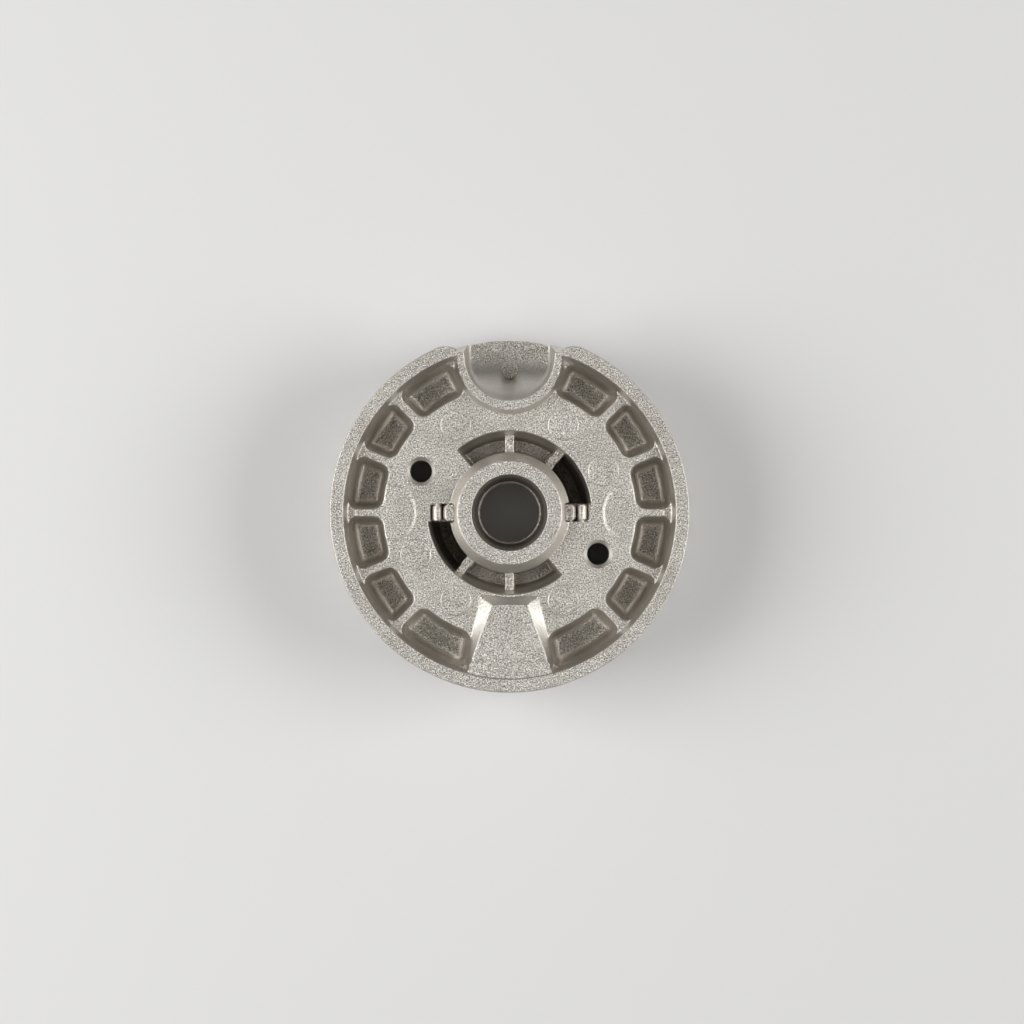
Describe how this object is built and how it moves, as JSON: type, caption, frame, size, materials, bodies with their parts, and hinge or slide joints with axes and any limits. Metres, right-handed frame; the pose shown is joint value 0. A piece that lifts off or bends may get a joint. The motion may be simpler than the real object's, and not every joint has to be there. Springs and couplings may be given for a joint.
{
  "type": "gas burner base",
  "caption": "Round die-cast base of a sealed hob gas burner, with ribbed pockets and a central venturi boss on its underside, an electrode recess and a ring of flame ports.",
  "frame": {"origin": "on the venturi axis in the plane of the cap seat, which the part lies on", "axes": "+Z along the venturi axis, out of the ribbed underside that faces the hob when fitted; +Y towards the electrode recess; +X to the right in the picture"},
  "size_m": [0.064, 0.0631, 0.022],
  "materials": {
    "cast_aluminium": "shot-blasted die casting"
  },
  "bodies": {
    "root": {"burner_base": "cast_aluminium"}
  },
  "joints": []
}
